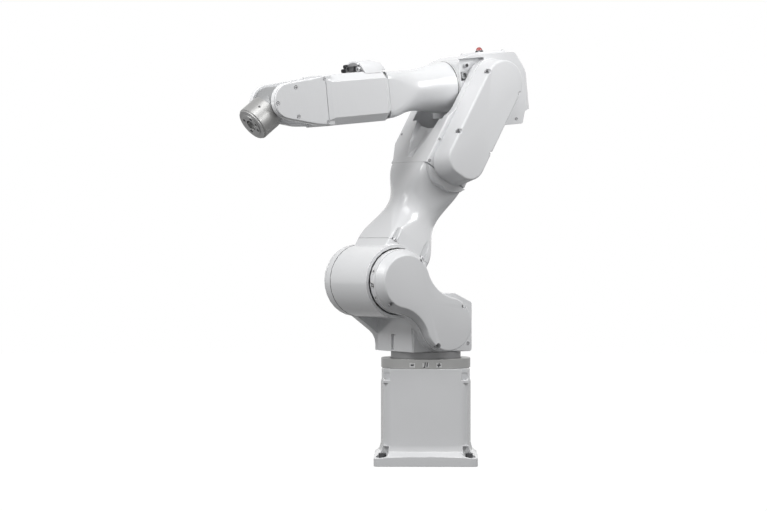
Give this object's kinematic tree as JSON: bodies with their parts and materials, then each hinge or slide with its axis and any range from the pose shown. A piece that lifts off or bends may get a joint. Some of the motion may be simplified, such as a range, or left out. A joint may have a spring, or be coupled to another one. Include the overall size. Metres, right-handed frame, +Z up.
{
  "type": "six-axis robot arm",
  "caption": "Compact articulated industrial robot arm on a square column base, with cast links, belt drives under moulded side covers, a forked wrist and a round tool flange.",
  "frame": {"origin": "centre of the base's square mounting face, on the J1 axis", "axes": "+Z up along the J1 axis; +X towards the base's front, away from the connector panel; the arm is stored turned and bent as in the picture"},
  "size_m": [0.3593, 0.4988, 0.7373],
  "materials": {
    "white_paint": "cast aluminium in smooth near-white paint",
    "white_cover": "moulded, near-white, semi-gloss",
    "machined_aluminium": "machined, clear anodised",
    "grey_casting": "grey painted casting",
    "bright_steel": "plated",
    "dark_steel": "dark plated",
    "motor_black": "black paint",
    "black_plastic": "moulded",
    "belt_rubber": "matt",
    "lamp_red": "translucent red"
  },
  "bodies": {
    "base": {"base_casting": "white_paint", "base_bottom_cover": "machined_aluminium", "base_bolt_1": "bright_steel", "base_bolt_2": "bright_steel", "base_bolt_3": "bright_steel", "base_bolt_4": "bright_steel", "j1_motor": "motor_black", "j1_reducer": "bright_steel", "j1_ring": "machined_aluminium", "connector_panel": "grey_casting", "cable_connector": "black_plastic", "user_connector": "bright_steel", "base_air_port_1": "bright_steel", "base_air_port_2": "bright_steel"},
    "shoulder": {"turntable": "machined_aluminium", "shoulder_casting": "white_paint", "shoulder_rear_cover": "white_cover", "j2_motor": "motor_black", "j2_motor_pulley": "machined_aluminium", "j2_arm_pulley": "machined_aluminium", "j2_belt": "belt_rubber", "j2_reducer": "bright_steel", "j2_belt_cover": "white_cover", "j2_bearing_cap": "white_paint"},
    "upper_arm": {"arm_lower_casting": "white_paint", "arm_neck_casting": "white_paint", "arm_fork_casting": "white_paint", "j3_motor": "motor_black", "j3_motor_pulley": "machined_aluminium", "j3_arm_pulley": "machined_aluminium", "j3_belt": "belt_rubber", "j3_belt_cover": "white_cover", "j3_far_cover": "white_paint"},
    "elbow": {"j3_reducer": "bright_steel", "elbow_casting": "white_paint", "elbow_top_cover": "white_cover", "elbow_rear_cover": "white_cover", "j4_motor": "motor_black", "j4_reducer": "bright_steel", "lamp_ring": "black_plastic", "lamp_lens": "lamp_red", "elbow_air_port": "white_cover", "elbow_connector": "dark_steel"},
    "forearm": {"forearm_neck": "white_paint", "forearm_body": "white_paint", "forearm_near_cover": "white_cover", "forearm_far_cover": "white_cover", "connector_dome": "white_cover", "dome_air_port_1": "dark_steel", "dome_air_port_2": "dark_steel", "j5_motor": "motor_black", "j5_motor_pulley": "machined_aluminium", "j5_wrist_pulley": "machined_aluminium", "j5_belt": "belt_rubber", "j6_motor": "motor_black", "j6_motor_pulley": "machined_aluminium", "j6_wrist_pulley": "machined_aluminium", "j6_belt": "belt_rubber"},
    "wrist": {"wrist_housing": "grey_casting"},
    "flange": {"tool_flange": "machined_aluminium"}
  },
  "joints": [
    {"name": "j1", "type": "hinge", "parent": "base", "child": "shoulder", "pos_m": [0, 0, 0], "axis": [0, 0, 1], "range_deg": [-112.8, 227.2]},
    {"name": "j2", "type": "hinge", "parent": "shoulder", "child": "upper_arm", "pos_m": [0.05417, -0.08406, 0.32], "axis": [0.8406, 0.5417, 0], "range_deg": [-35.2, 125]},
    {"name": "j3", "type": "hinge", "parent": "upper_arm", "child": "elbow", "pos_m": [-0.05352, 0.08304, 0.66711], "axis": [-0.8406, -0.5417, 0], "range_deg": [-15.1, 260.9]},
    {"name": "j4", "type": "hinge", "parent": "elbow", "child": "forearm", "pos_m": [-0.05352, 0.08304, 0.66711], "axis": [0.5386, -0.8358, -0.1063], "range_deg": [-200, 200]},
    {"name": "j5", "type": "hinge", "parent": "forearm", "child": "wrist", "pos_m": [0.16194, -0.25128, 0.6246], "axis": [0.8406, 0.5417, 0], "range_deg": [-167.6, 102.4]},
    {"name": "j6", "type": "hinge", "parent": "wrist", "child": "flange", "pos_m": [0.16194, -0.25128, 0.6246], "axis": [0.4228, -0.656, -0.6252], "range_deg": [-360, 360]}
  ]
}
